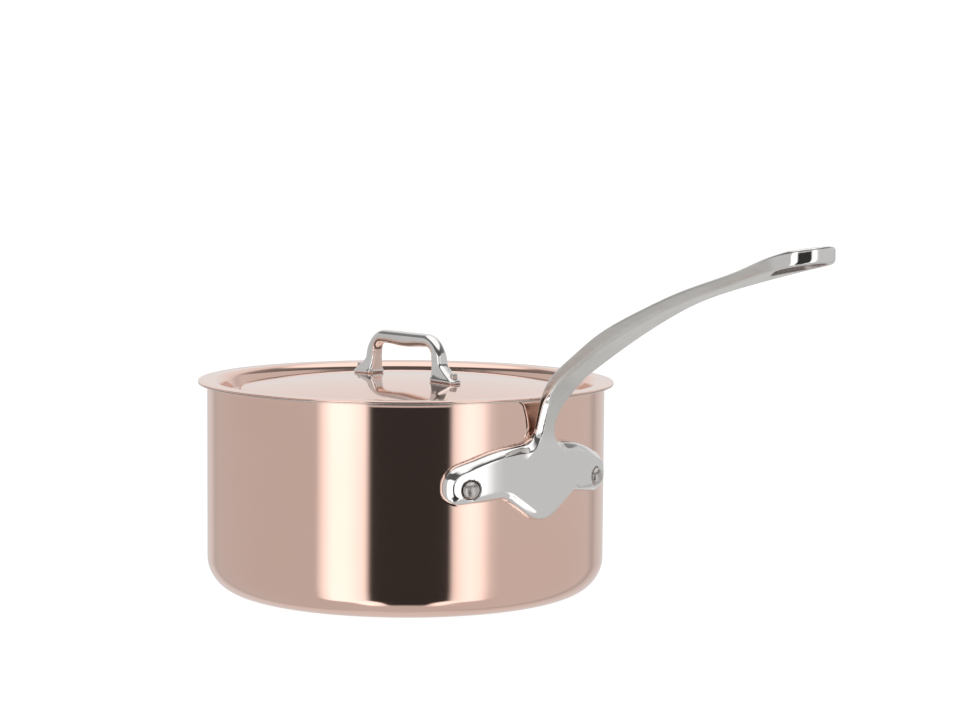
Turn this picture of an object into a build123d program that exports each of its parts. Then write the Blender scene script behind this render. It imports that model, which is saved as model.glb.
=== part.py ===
"""Straight-walled copper saucepan with a drop-in copper lid and cast stainless handles.

Millimetres. The origin is the centre of the base's underside, +Z is up and +X points along the handle.
"""

from build123d import *

import os
from collections import namedtuple
from math import asin, cos, degrees, radians, sin, sqrt

os.makedirs("parts", exist_ok=True)

# Pan
pan_inner_radius = 100.0
pan_height = 106.5
copper_wall = 1.6
lining_wall = 0.4
base_corner_radius = 17.5

# Lid sheet
lid_copper_wall = 1.0
lid_lining_wall = 0.4
lid_overhang = 4.7
lid_drop_clearance = 2.7
lid_drop_depth = 9.0
lid_wall_draft = 2.4
lid_groove_width = 4.5
lid_shoulder_run = 4.5
lid_bend_radius = 2.5
lid_dome_rise = 1.8
lid_dome_edge_drop = 3.6

# Lid handle
bridge_height = 22.5
bridge_leg_spacing = 50.0
bridge_leg_lean = 2.5
bridge_corner_radius = 9.0
bridge_bar_width = 7.4
bridge_bar_thickness = 6.4
bridge_edge_round = 2.2
foot_inner_reach = 6.5
foot_tab_reach = 14.0
foot_width = 10.6
foot_height = 6.0
foot_taper = 34.0

# Handle plate on the wall
plate_thickness = 4.6
plate_edge_round = 2.6
plate_middle_drop = 41.5
wing_half_span = 53.0
wing_top_rise = 9.0
wing_bottom_drop = 9.5
wing_round = 9.0
shoulder_rise = 23.0
shoulder_round = 9.0
shoulder_inset = 0.8
waist_half_width = 17.0
waist_drop = 7.5
waist_round = 6.0
lobe_half_width = 9.5
lobe_drop = 17.8
lobe_round = 9.0

# Handle arm, from the plate to the end: reach out from the wall, rise above the rim, width, thickness
arm_end_reach = 183.0
arm_flare_inset = 25.0
arm_eye_inset = 13.5
arm_overrun = 3.0
arm_edge_round = 2.0
arm_edge_share = 0.48
ArmStation = namedtuple("ArmStation", "reach rise width thickness")
arm_stations = [
    ArmStation(2.2, -27.0, 12.6, 4.8),
    ArmStation(2.2, -14.5, 12.4, 4.8),
    ArmStation(6.8, -3.0, 13.4, 5.0),
    ArmStation(15.0, 7.2, 15.8, 6.0),
    ArmStation(31.4, 20.1, 17.5, 6.8),
    ArmStation(48.2, 30.8, 19.0, 7.2),
    ArmStation(78.0, 45.9, 17.0, 6.2),
    ArmStation(100.0, 55.1, 15.0, 5.7),
    ArmStation(120.0, 61.5, 15.8, 5.4),
    ArmStation(140.0, 67.3, 19.5, 5.6),
    ArmStation(arm_end_reach - arm_flare_inset, 72.7, 24.0, 6.2),
    ArmStation(arm_end_reach - arm_eye_inset, 75.8, 25.0, 6.3),
    ArmStation(arm_end_reach + arm_overrun, 79.6, 25.0, 6.2),
]
eye_rim = 3.5
eye_length = 29.0

# Rivets
handle_rivet_inset = 11.6
handle_rivet_shank_radius = 2.5
handle_rivet_head_radius = 4.3
handle_rivet_head_height = 3.5
handle_rivet_seat_depth = 0.8
handle_rivet_inner_head_radius = 5.5
handle_rivet_inner_head_height = 1.4
lid_rivet_shank_radius = 1.8
lid_rivet_head_radius = 3.0
lid_rivet_head_height = 2.0
lid_rivet_tab_thickness = 2.2
lid_rivet_reach = 9.7
lid_rivet_inner_head_radius = 4.0
lid_rivet_inner_head_height = 1.0
rivet_head_round = 1.1
rivet_seat_ring = 0.6

# Fits
plate_wall_gap = 0.1
rivet_hole_gap = 0.05
inner_head_gap = 0.02
cut_margin = 20.0

# Derived sizes
pan_outer_radius = pan_inner_radius + lining_wall + copper_wall
pan_profile = [(0, 0), (pan_outer_radius, 0), (pan_outer_radius, pan_height)]
lid_sheet = lid_copper_wall + lid_lining_wall
lid_top = pan_height + lid_sheet
flange_radius = pan_outer_radius + lid_overhang
drop_wall_radius = pan_inner_radius - lid_drop_clearance - lid_lining_wall - lid_copper_wall
groove_outer_radius = drop_wall_radius - lid_wall_draft
groove_inner_radius = groove_outer_radius - lid_groove_width
dome_radius = groove_inner_radius - lid_shoulder_run
dome_sag = lid_dome_rise + lid_dome_edge_drop
dome_sphere_radius = (dome_radius**2 + dome_sag**2) / (2 * dome_sag)
dome_centre_height = lid_top + lid_dome_rise
plate_inner_radius = pan_outer_radius + plate_wall_gap
plate_outer_radius = plate_inner_radius + plate_thickness
plate_middle_height = pan_height - plate_middle_drop
neck_height = pan_height + arm_stations[1].rise
handle_rivet_angle = degrees(asin((wing_half_span - handle_rivet_inset) / plate_outer_radius))


def dome_height(radius):
    """Height of the lid's outer face at a radius inside the dome."""
    return dome_centre_height - dome_sphere_radius + sqrt(dome_sphere_radius**2 - radius**2)


def radial_plane(angle, radius, height):
    """Plane that faces straight out of the wall at an angle from the handle."""
    outward = (cos(radians(angle)), sin(radians(angle)), 0)
    return Plane(
        origin=(radius * outward[0], radius * outward[1], height),
        x_dir=(0, 0, 1),
        z_dir=outward,
    )


# Rivet seats: the outer heads sit on flat spots sunk into the plate and the lid handle's feet
handle_rivet_seat_radius = plate_outer_radius - handle_rivet_seat_depth
handle_rivet_seats = {
    "left": radial_plane(-handle_rivet_angle, handle_rivet_seat_radius, plate_middle_height),
    "right": radial_plane(handle_rivet_angle, handle_rivet_seat_radius, plate_middle_height),
}
handle_rivet_inner_face = sqrt(pan_inner_radius**2 - handle_rivet_inner_head_radius**2) - inner_head_gap
handle_rivet_grip = handle_rivet_seat_radius - handle_rivet_inner_face

leg_base = bridge_leg_spacing / 2 + bridge_leg_lean
leg_top = bridge_leg_spacing / 2 - bridge_leg_lean
lid_rivet_offset = leg_base + lid_rivet_reach
lid_rivet_seat_height = dome_height(lid_rivet_offset) + lid_rivet_tab_thickness
lid_rivet_seats = {
    "front": Plane(origin=(lid_rivet_offset, 0, lid_rivet_seat_height)),
    "back": Plane(origin=(-lid_rivet_offset, 0, lid_rivet_seat_height)),
}
lid_rivet_inner_face = dome_height(lid_rivet_offset + lid_rivet_inner_head_radius) - lid_sheet - inner_head_gap
lid_rivet_grip = lid_rivet_seat_height - lid_rivet_inner_face


# Tools for the rivets: bores along the shanks and the flat spots under the heads
with BuildPart() as handle_rivet_bores:
    for seat in handle_rivet_seats.values():
        with BuildSketch(seat):
            Circle(handle_rivet_shank_radius + rivet_hole_gap)
    extrude(amount=cut_margin, both=True)

with BuildPart() as handle_rivet_spots:
    for seat in handle_rivet_seats.values():
        with BuildSketch(seat):
            Circle(handle_rivet_head_radius + rivet_seat_ring)
    extrude(amount=cut_margin)

with BuildPart() as lid_rivet_bores:
    for seat in lid_rivet_seats.values():
        with BuildSketch(seat):
            Circle(lid_rivet_shank_radius + rivet_hole_gap)
    extrude(amount=cut_margin, both=True)

with BuildPart() as lid_rivet_spots:
    for seat in lid_rivet_seats.values():
        with BuildSketch(seat):
            Circle(lid_rivet_head_radius + rivet_seat_ring)
    extrude(amount=cut_margin)

# Pan: a copper shell with a thin steel lining bonded inside it
with BuildPart() as pan_copper_shell:
    with BuildSketch(Plane.XZ):
        with BuildLine():
            FilletPolyline(pan_profile, radius=base_corner_radius)
            offset(amount=copper_wall, side=Side.LEFT)
        make_face()
    revolve(axis=Axis.Z)
    add(handle_rivet_bores.part, mode=Mode.SUBTRACT)

with BuildPart() as pan_steel_lining:
    with BuildSketch(Plane.XZ):
        with BuildLine():
            FilletPolyline(pan_profile, radius=base_corner_radius)
            offset(amount=copper_wall + lining_wall, side=Side.LEFT)
        make_face()
    revolve(axis=Axis.Z)
    add(pan_copper_shell.part, mode=Mode.SUBTRACT)
    add(handle_rivet_bores.part, mode=Mode.SUBTRACT)


def lid_sheet_line():
    """The lid's outer face, from the axis to the flange's edge."""
    with BuildLine(mode=Mode.PRIVATE) as face_line:
        ThreePointArc(
            (0, dome_centre_height),
            (dome_radius / 2, dome_height(dome_radius / 2)),
            (dome_radius, dome_height(dome_radius)),
        )
        Polyline(
            (dome_radius, dome_height(dome_radius)),
            (groove_inner_radius, lid_top - lid_drop_depth),
            (groove_outer_radius, lid_top - lid_drop_depth),
            (drop_wall_radius, lid_top),
            (flange_radius, lid_top),
        )
        fillet(face_line.vertices(), lid_bend_radius)
    return face_line.line


# Lid: a pressed copper disc with a thin steel lining bonded under it
with BuildPart() as lid_copper_shell:
    with BuildSketch(Plane.XZ):
        with BuildLine():
            add(lid_sheet_line())
            offset(amount=lid_copper_wall, side=Side.RIGHT)
        make_face()
    revolve(axis=Axis.Z)
    add(lid_rivet_bores.part, mode=Mode.SUBTRACT)

with BuildPart() as lid_steel_lining:
    with BuildSketch(Plane.XZ):
        with BuildLine():
            add(lid_sheet_line())
            offset(amount=lid_sheet, side=Side.RIGHT)
        make_face()
    revolve(axis=Axis.Z)
    add(lid_copper_shell.part, mode=Mode.SUBTRACT)
    add(lid_rivet_bores.part, mode=Mode.SUBTRACT)


# Handle plate: a winged outline bent round the wall
Corner = namedtuple("Corner", "across height round")
shoulder_half_width = arm_stations[0].width / 2 - shoulder_inset
plate_half = [
    Corner(shoulder_half_width, plate_middle_height + shoulder_rise + shoulder_round, 0),
    Corner(shoulder_half_width, plate_middle_height + shoulder_rise, shoulder_round),
    Corner(wing_half_span, plate_middle_height + wing_top_rise, wing_round),
    Corner(wing_half_span, plate_middle_height - wing_bottom_drop, wing_round),
    Corner(waist_half_width, plate_middle_height - waist_drop, waist_round),
    Corner(lobe_half_width, plate_middle_height - lobe_drop, lobe_round),
]
plate_corners = plate_half + [Corner(-c.across, c.height, c.round) for c in reversed(plate_half)]

with BuildPart() as handle_plate:
    with BuildSketch(Plane.YZ):
        with BuildLine():
            FilletPolyline(
                [(c.across, c.height) for c in plate_corners],
                radius=[c.round for c in plate_corners],
                close=True,
            )
        make_face()
    extrude(amount=plate_outer_radius)
    with BuildSketch(Plane.XY):
        Circle(plate_outer_radius)
        Circle(plate_inner_radius, mode=Mode.SUBTRACT)
    extrude(amount=neck_height, mode=Mode.INTERSECT)
    outer_face = handle_plate.faces().filter_by(GeomType.CYLINDER).sort_by(SortBy.AREA)[-1]
    fillet(outer_face.edges(), plate_edge_round)


def arm_plane(index):
    """Plane of an arm section, square to the line through its neighbours."""
    before = arm_stations[max(index - 1, 0)]
    after = arm_stations[min(index + 1, len(arm_stations) - 1)]
    station = arm_stations[index]
    return Plane(
        origin=(pan_outer_radius + station.reach, 0, pan_height + station.rise),
        x_dir=(0, 1, 0),
        z_dir=(after.reach - before.reach, 0, after.rise - before.rise),
    )


arm_end = pan_outer_radius + arm_end_reach
end_radius = arm_stations[-1].width / 2
end_centre = arm_end - end_radius
eye_radius = end_radius - eye_rim
eye_tip = end_centre + eye_radius - eye_length
eye_tangent = asin(eye_radius / (end_centre - eye_tip))
eye_touch = (end_centre - eye_radius * sin(eye_tangent), eye_radius * cos(eye_tangent))
handle_top = pan_height + arm_stations[-1].rise + cut_margin

with BuildPart() as handle:
    for index, station in enumerate(arm_stations):
        with BuildSketch(arm_plane(index)):
            edge_round = min(arm_edge_round, arm_edge_share * station.thickness)
            RectangleRounded(station.width, station.thickness, edge_round)
    loft()
    with BuildSketch(Plane.XY):
        with Locations((end_centre, 0)):
            Circle(end_radius)
        with Locations((pan_inner_radius, 0)):
            Rectangle(end_centre - pan_inner_radius, 2 * wing_half_span, align=(Align.MIN, Align.CENTER))
    extrude(amount=handle_top, mode=Mode.INTERSECT)
    with BuildSketch(Plane.XY):
        with BuildLine():
            Polyline((eye_touch[0], -eye_touch[1]), (eye_tip, 0), eye_touch)
            ThreePointArc(eye_touch, (end_centre + eye_radius, 0), (eye_touch[0], -eye_touch[1]))
        make_face()
    extrude(amount=handle_top, mode=Mode.SUBTRACT)
    add(handle_plate.part)
    with BuildSketch(Plane.XY):
        Circle(plate_inner_radius)
    extrude(amount=pan_height, mode=Mode.SUBTRACT)
    add(handle_rivet_bores.part, mode=Mode.SUBTRACT)
    add(handle_rivet_spots.part, mode=Mode.SUBTRACT)

# Lid handle: a bridge on two ridged feet that follow the dome
foot_length = foot_inner_reach + foot_tab_reach
foot_middle = leg_base + (foot_tab_reach - foot_inner_reach) / 2
foot_base = dome_height(leg_base + foot_tab_reach)
bar_middle = dome_centre_height + bridge_height - bridge_bar_thickness / 2

with BuildPart() as lid_handle:
    with BuildLine(Plane.XZ):
        bridge_line = FilletPolyline(
            (-leg_base, foot_base),
            (-leg_top, bar_middle),
            (leg_top, bar_middle),
            (leg_base, foot_base),
            radius=bridge_corner_radius,
        )
    with BuildSketch(Plane(origin=bridge_line @ 0, x_dir=(0, 1, 0), z_dir=bridge_line % 0)):
        RectangleRounded(bridge_bar_width, bridge_bar_thickness, bridge_edge_round)
    sweep(path=bridge_line)
    with BuildSketch(Plane.XY.offset(foot_base)):
        with Locations((foot_middle, 0), (-foot_middle, 0)):
            SlotOverall(foot_length, foot_width)
    extrude(amount=foot_height, taper=foot_taper)
    with BuildSketch(Plane.XZ):
        with BuildLine():
            dome_line = ThreePointArc(
                (0, dome_centre_height),
                (dome_radius / 2, dome_height(dome_radius / 2)),
                (dome_radius, dome_height(dome_radius)),
            )
            Polyline(dome_line @ 1, (dome_radius, 0), (0, 0), dome_line @ 0)
        make_face()
    revolve(axis=Axis.Z, mode=Mode.SUBTRACT)
    add(lid_rivet_bores.part, mode=Mode.SUBTRACT)
    add(lid_rivet_spots.part, mode=Mode.SUBTRACT)

parts = {
    "pan_copper_shell": pan_copper_shell.part,
    "pan_steel_lining": pan_steel_lining.part,
    "handle": handle.part,
    "lid_copper_shell": lid_copper_shell.part,
    "lid_steel_lining": lid_steel_lining.part,
    "lid_handle": lid_handle.part,
}

# Handle rivets: domed outer head, shank through plate and wall, low head inside the pan
for side, seat in handle_rivet_seats.items():
    with BuildPart(seat) as handle_rivet:
        Cylinder(
            handle_rivet_head_radius,
            handle_rivet_head_height,
            align=(Align.CENTER, Align.CENTER, Align.MIN),
        )
        fillet(handle_rivet.edges().group_by(Axis(seat.origin, seat.z_dir))[-1], rivet_head_round)
        Cylinder(
            handle_rivet_shank_radius,
            handle_rivet_grip,
            align=(Align.CENTER, Align.CENTER, Align.MAX),
        )
        with Locations((0, 0, -handle_rivet_grip)):
            Cylinder(
                handle_rivet_inner_head_radius,
                handle_rivet_inner_head_height,
                align=(Align.CENTER, Align.CENTER, Align.MAX),
            )
    parts[f"handle_rivet_{side}"] = handle_rivet.part

# Lid rivets: domed head on the foot's tab, shank through the sheet, low head under the lid
for end, seat in lid_rivet_seats.items():
    with BuildPart(seat) as lid_rivet:
        Cylinder(
            lid_rivet_head_radius,
            lid_rivet_head_height,
            align=(Align.CENTER, Align.CENTER, Align.MIN),
        )
        fillet(lid_rivet.edges().group_by(Axis.Z)[-1], rivet_head_round)
        Cylinder(
            lid_rivet_shank_radius,
            lid_rivet_grip,
            align=(Align.CENTER, Align.CENTER, Align.MAX),
        )
        with Locations((0, 0, -lid_rivet_grip)):
            Cylinder(
                lid_rivet_inner_head_radius,
                lid_rivet_inner_head_height,
                align=(Align.CENTER, Align.CENTER, Align.MAX),
            )
    parts[f"lid_rivet_{end}"] = lid_rivet.part

for name, part in parts.items():
    part.label = name
    export_step(part, f"parts/{name}.step")
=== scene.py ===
"""Dresses the copper saucepan: turned shells, cast handles, rivets, finishes, studio and camera.

The classes hold millimetres. Meshes are written in metres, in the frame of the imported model: +Z up,
+X along the handle, the origin under the middle of the base.
"""

import logging
import math
from dataclasses import dataclass
from enum import Enum
from typing import NamedTuple, Sequence, Union

import bmesh
import bpy
import numpy as np
from mathutils import Matrix, Vector


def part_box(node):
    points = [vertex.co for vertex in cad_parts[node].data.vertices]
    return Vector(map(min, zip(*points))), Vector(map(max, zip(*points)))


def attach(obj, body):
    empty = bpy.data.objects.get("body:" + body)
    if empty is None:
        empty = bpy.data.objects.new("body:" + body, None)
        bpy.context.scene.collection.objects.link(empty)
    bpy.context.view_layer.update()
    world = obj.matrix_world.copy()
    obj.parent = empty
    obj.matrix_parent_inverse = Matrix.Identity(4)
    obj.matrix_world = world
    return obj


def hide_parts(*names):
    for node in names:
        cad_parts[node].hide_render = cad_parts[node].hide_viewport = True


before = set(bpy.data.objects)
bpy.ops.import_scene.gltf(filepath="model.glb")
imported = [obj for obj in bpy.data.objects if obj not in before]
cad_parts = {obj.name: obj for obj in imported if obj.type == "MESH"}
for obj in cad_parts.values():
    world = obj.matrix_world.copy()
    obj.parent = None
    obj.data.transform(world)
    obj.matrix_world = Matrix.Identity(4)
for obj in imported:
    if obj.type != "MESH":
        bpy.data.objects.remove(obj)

log = logging.getLogger("saucepan")

MM = 0.001
MERGE = 0.002 * MM
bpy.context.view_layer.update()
PHOTO_WIDTH = 970
SENSOR_WIDTH = 36.0
WHITE = (1.0, 1.0, 1.0, 1.0)
NOISE_MEAN = 0.5
# Attribute of buffing from 0 to 1; below 0 it marks painted shade inside the eye.
POLISH_AND_EYE_SHADE = "polish"

Array = np.ndarray
Setting = Union[str, float, int, bool, tuple, list]


def node_box(node: str) -> tuple[Array, Array]:
    """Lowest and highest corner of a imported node, in millimetres."""
    low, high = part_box(node)
    return np.array(low) / MM, np.array(high) / MM


class Wire:
    """A node's output whose arithmetic adds Math nodes to the graph that it belongs to."""

    def __init__(self, graph: "Graph", socket: bpy.types.NodeSocket) -> None:
        """Keeps the graph and the output socket."""
        self.graph = graph
        self.socket = socket

    def out(self, name: str) -> "Wire":
        """Another output of the same node."""
        return Wire(self.graph, self.socket.node.outputs[name])

    def math(self, operation: str, *others: "Operand") -> "Wire":
        """This value put through a Math node, with any further operands."""
        operands = dict(enumerate((self, *others)))
        return self.graph.node("ShaderNodeMath", {"operation": operation}, operands)

    def __add__(self, other: "Operand") -> "Wire":
        """This value plus another."""
        return self.math("ADD", other)

    __radd__ = __add__

    def __mul__(self, other: "Operand") -> "Wire":
        """This value times another."""
        return self.math("MULTIPLY", other)

    __rmul__ = __mul__

    def __sub__(self, other: "Operand") -> "Wire":
        """This value less another."""
        return self.math("SUBTRACT", other)

    def __rsub__(self, other: float) -> "Wire":
        """A number less this value."""
        return self.graph.node("ShaderNodeMath", {"operation": "SUBTRACT"}, {0: other, 1: self})

    def __truediv__(self, other: "Operand") -> "Wire":
        """This value divided by another."""
        return self.math("DIVIDE", other)

    def __rtruediv__(self, other: float) -> "Wire":
        """A number divided by this value."""
        return self.graph.node("ShaderNodeMath", {"operation": "DIVIDE"}, {0: other, 1: self})

    def __pow__(self, other: "Operand") -> "Wire":
        """This value to a power."""
        return self.math("POWER", other)

    def clamp(self, low: float, high: "Operand") -> "Wire":
        """This value held between two limits."""
        return self.math("MAXIMUM", low).math("MINIMUM", high)

    def ease(self, low: float, high: float) -> "Wire":
        """A smooth step from 0 at the low value to 1 at the high value."""
        limits = {"Value": self, "From Min": low, "From Max": high}
        return self.graph.node("ShaderNodeMapRange", {"interpolation_type": "SMOOTHSTEP"}, limits)

    def mix(self, first: "Operand", second: "Operand") -> "Wire":
        """The first value where this one is 0 and the second where it is 1."""
        return self.graph.node("ShaderNodeMix", {"data_type": "FLOAT"}, {0: self, 2: first, 3: second})

    def mix_colour(self, first: "Colour", second: "Colour") -> "Wire":
        """The first colour where this value is 0 and the second where it is 1."""
        inputs = {0: self, 6: first, 7: second}
        return self.graph.node("ShaderNodeMix", {"data_type": "RGBA"}, inputs, 2)


Operand = Union[Wire, float]
Colour = Union[Wire, tuple[float, float, float, float]]


class Graph:
    """A node tree that is filled through one method."""

    def __init__(self, tree: bpy.types.NodeTree) -> None:
        """Empties the tree and keeps it."""
        self.tree = tree
        self.tree.nodes.clear()

    def node(
        self,
        kind: str,
        settings: dict[str, Setting] | None = None,
        inputs: dict[int | str, Union[Operand, Colour, Setting]] | None = None,
        output: int | str = 0,
    ) -> Wire:
        """Adds a node, sets it up and wires it.

        Args:
            kind: the node's type.
            settings: its properties, set first; a ramp's stops are pairs of a place and a colour.
            inputs: values or wires for its sockets, by name or number.
            output: the output that is returned.

        Returns:
            The wire from that output.
        """
        made = self.tree.nodes.new(kind)
        for name, value in (settings or {}).items():
            if name == "stops":
                self._set_stops(made.color_ramp, value)
            else:
                setattr(made, name, value)
        for name, value in (inputs or {}).items():
            if isinstance(value, Wire):
                self.tree.links.new(value.socket, made.inputs[name])
            else:
                made.inputs[name].default_value = value
        return Wire(self, made.outputs[output]) if made.outputs else None

    @staticmethod
    def _set_stops(ramp: bpy.types.ColorRamp, stops: Sequence[tuple[float, tuple]]) -> None:
        """Gives a ramp its stops, in order.

        Args:
            ramp: the ramp.
            stops: pairs of a place and a colour.
        """
        while len(ramp.elements) < len(stops):
            ramp.elements.new(1.0)
        for element, (place, colour) in zip(ramp.elements, stops):
            element.position = place
            element.color = colour


class Surface:
    """A material's graph with one metal shader at its end."""

    def __init__(self, name: str, roughness: float) -> None:
        """Starts a metal material of one roughness.

        Args:
            name: the material's name.
            roughness: its roughness, until a wire is fed to that socket.
        """
        self.material = bpy.data.materials.new(name)
        self.material.use_nodes = True
        self.graph = Graph(self.material.node_tree)
        shader = {"Metallic": 1.0, "Roughness": roughness}
        self.shader = self.graph.node("ShaderNodeBsdfPrincipled", inputs=shader)
        self.graph.node("ShaderNodeOutputMaterial", inputs={"Surface": self.shader})

    def feed(self, socket: str, value: Wire) -> None:
        """Links a wire to one of the shader's sockets."""
        target = self.shader.socket.node.inputs[socket]
        self.graph.tree.links.new(value.socket, target)

    def place(self) -> Wire:
        """The point's place on the piece, in metres."""
        return self.graph.node("ShaderNodeTexCoord", output="Object")

    def noise(self, vector: Wire, scale: float, detail: float) -> Wire:
        """Cloudy noise from 0 to 1 at a scale in cycles per metre."""
        inputs = {"Vector": vector, "Scale": scale, "Detail": detail}
        return self.graph.node("ShaderNodeTexNoise", inputs=inputs)

    def turned(self, vector: Wire) -> Wire:
        """A place that keeps only its radius and height, as tool marks on turned work do.

        Args:
            vector: the place.

        Returns:
            The radius and the height, as a vector.
        """
        parts = self.graph.node("ShaderNodeSeparateXYZ", inputs={0: vector})
        radius = (parts * parts + parts.out("Y") * parts.out("Y")).math("SQRT")
        return self.graph.node("ShaderNodeCombineXYZ", inputs={0: radius, 2: parts.out("Z")})

    def stretched(self, vector: Wire, turn: tuple, scale: tuple) -> Wire:
        """A place turned and scaled, so that noise on it runs in streaks."""
        inputs = {"Vector": vector, "Rotation": turn, "Scale": scale}
        return self.graph.node("ShaderNodeMapping", inputs=inputs)

    def bump(self, height: Wire, strength: float, depth: float) -> None:
        """Roughens the surface by a height, at a strength and a depth in metres."""
        inputs = {"Strength": strength, "Distance": depth, "Height": height}
        self.feed("Normal", self.graph.node("ShaderNodeBump", inputs=inputs))


@dataclass(frozen=True)
class MirrorCopper:
    """Copper polished to a mirror, with a faint warm cloud and fine rings from the polishing wheel."""

    name: str = "mirror_copper"
    bright: tuple = (0.955, 0.678, 0.582, 1.0)
    deep: tuple = (0.945, 0.652, 0.553, 1.0)
    roughness: float = 0.075
    roughness_spread: float = 0.03
    cloud_scale: float = 14.0
    cloud_detail: float = 3.0
    cloud_range: tuple = (0.3, 0.7)
    ring_scale: float = 900.0
    ring_detail: float = 4.0
    ring_strength: float = 0.06
    ring_depth: float = 0.00001

    def material(self) -> bpy.types.Material:
        """Builds the finish as a material.

        Returns:
            The material.
        """
        surface = Surface(self.name, self.roughness)
        place = surface.place()
        cloud = surface.noise(place, self.cloud_scale, self.cloud_detail)
        rings = surface.noise(surface.turned(place), self.ring_scale, self.ring_detail)
        surface.feed("Base Color", cloud.ease(*self.cloud_range).mix_colour(self.bright, self.deep))
        uneven = rings + cloud - 2 * NOISE_MEAN
        surface.feed("Roughness", self.roughness + uneven * self.roughness_spread)
        surface.bump(rings, self.ring_strength, self.ring_depth)
        return surface.material


@dataclass(frozen=True)
class RingBrushedSteel:
    """Lining steel brushed in rings round the pan's axis."""

    name: str = "ring_brushed_steel"
    bright: tuple = (0.86, 0.85, 0.83, 1.0)
    deep: tuple = (0.75, 0.74, 0.72, 1.0)
    roughness: float = 0.26
    roughness_spread: float = 0.16
    ring_scale: float = 2600.0
    ring_detail: float = 5.0
    ring_range: tuple = (0.3, 0.7)
    ring_strength: float = 0.25
    ring_depth: float = 0.00002

    def material(self) -> bpy.types.Material:
        """Builds the finish as a material.

        Returns:
            The material.
        """
        surface = Surface(self.name, self.roughness)
        rings = surface.noise(surface.turned(surface.place()), self.ring_scale, self.ring_detail)
        surface.feed("Base Color", rings.ease(*self.ring_range).mix_colour(self.deep, self.bright))
        surface.feed("Roughness", self.roughness + (rings - NOISE_MEAN) * self.roughness_spread)
        surface.bump(rings, self.ring_strength, self.ring_depth)
        return surface.material


@dataclass(frozen=True)
class CastSteel:
    """Cast stainless steel: satin on the arm, bright where the polish attribute says so, with painted shade
    inside the eye where that attribute is below 0.
    """

    name: str = "satin_cast_steel"
    bright: tuple = (0.80, 0.782, 0.752, 1.0)
    deep: tuple = (0.72, 0.70, 0.668, 1.0)
    buffed: tuple = (0.89, 0.872, 0.858, 1.0)
    # Dark colour painted on the eye's inner wall as shade.
    eye_shade_colour: tuple = (0.44, 0.385, 0.365, 1.0)
    satin_roughness: float = 0.36
    polished_roughness: float = 0.07
    roughness_spread: float = 0.10
    cloud_scale: float = 30.0
    cloud_detail: float = 2.0
    cloud_share: float = 0.6
    tone_range: tuple = (0.3, 0.7)
    grain_scale: float = 420.0
    grain_detail: float = 6.0
    grain_stretch: tuple = (0.06, 1.0, 1.0)
    grain_turn: float = math.radians(24.0)
    grain_strength: float = 0.10
    grain_depth: float = 0.00003

    def material(self) -> bpy.types.Material:
        """Builds the finish as a material.

        Returns:
            The material.
        """
        surface = Surface(self.name, self.satin_roughness)
        place = surface.place()
        polish = surface.graph.node("ShaderNodeAttribute", {"attribute_name": POLISH_AND_EYE_SHADE}, output="Fac")
        streaks = surface.stretched(place, (0.0, self.grain_turn, 0.0), self.grain_stretch)
        grain = surface.noise(streaks, self.grain_scale, self.grain_detail)
        cloud = surface.noise(place, self.cloud_scale, self.cloud_detail)
        # Below 0 the attribute marks the eye's inner wall, whose colour is painted dark as shade.
        painted_eye_shade = (-1.0 * polish).clamp(0.0, 1.0)
        polish = polish.clamp(0.0, 1.0)
        tone = cloud * self.cloud_share + grain * (1 - self.cloud_share)
        ground = tone.ease(*self.tone_range).mix_colour(self.bright, self.deep)
        ground = painted_eye_shade.mix_colour(ground, self.eye_shade_colour)
        surface.feed("Base Color", polish.mix_colour(ground, self.buffed))
        satin = self.satin_roughness + (grain - NOISE_MEAN) * self.roughness_spread
        surface.feed("Roughness", polish.mix(satin, self.polished_roughness))
        surface.bump(grain * (1.0 - polish), self.grain_strength, self.grain_depth)
        return surface.material


@dataclass(frozen=True)
class PolishedSteel:
    """Bright polished casting with the slight ripple that hand buffing leaves."""

    name: str = "buffed_cast_steel"
    bright: tuple = (0.88, 0.865, 0.85, 1.0)
    deep: tuple = (0.83, 0.81, 0.79, 1.0)
    roughness: float = 0.05
    roughness_spread: float = 0.05
    cloud_scale: float = 60.0
    cloud_detail: float = 3.0
    cloud_range: tuple = (0.35, 0.65)
    ripple_scale: float = 160.0
    ripple_detail: float = 1.0
    ripple_strength: float = 0.12
    ripple_depth: float = 0.0001

    def material(self) -> bpy.types.Material:
        """Builds the finish as a material.

        Returns:
            The material.
        """
        surface = Surface(self.name, self.roughness)
        place = surface.place()
        cloud = surface.noise(place, self.cloud_scale, self.cloud_detail)
        ripple = surface.noise(place, self.ripple_scale, self.ripple_detail)
        surface.feed("Base Color", cloud.ease(*self.cloud_range).mix_colour(self.bright, self.deep))
        surface.feed("Roughness", self.roughness + cloud * self.roughness_spread)
        surface.bump(ripple, self.ripple_strength, self.ripple_depth)
        return surface.material


@dataclass(frozen=True)
class RivetSteel:
    """Hammered rivet steel, duller than the casting round it."""

    name: str = "hammered_steel"
    bright: tuple = (0.70, 0.665, 0.64, 1.0)
    deep: tuple = (0.54, 0.505, 0.48, 1.0)
    roughness: float = 0.36
    roughness_spread: float = 0.16
    dent_scale: float = 700.0
    dent_detail: float = 4.0
    dent_range: tuple = (0.25, 0.7)
    dent_strength: float = 0.1
    dent_depth: float = 0.0002

    def material(self) -> bpy.types.Material:
        """Builds the finish as a material.

        Returns:
            The material.
        """
        surface = Surface(self.name, self.roughness)
        dents = surface.noise(surface.place(), self.dent_scale, self.dent_detail)
        surface.feed("Base Color", dents.ease(*self.dent_range).mix_colour(self.deep, self.bright))
        surface.feed("Roughness", self.roughness + (dents - NOISE_MEAN) * self.roughness_spread)
        surface.bump(dents, self.dent_strength, self.dent_depth)
        return surface.material


Finish = Union[MirrorCopper, RingBrushedSteel, CastSteel, PolishedSteel, RivetSteel]


class Body(Enum):
    """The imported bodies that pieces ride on."""

    PAN = "pan"
    LID = "lid"


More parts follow.
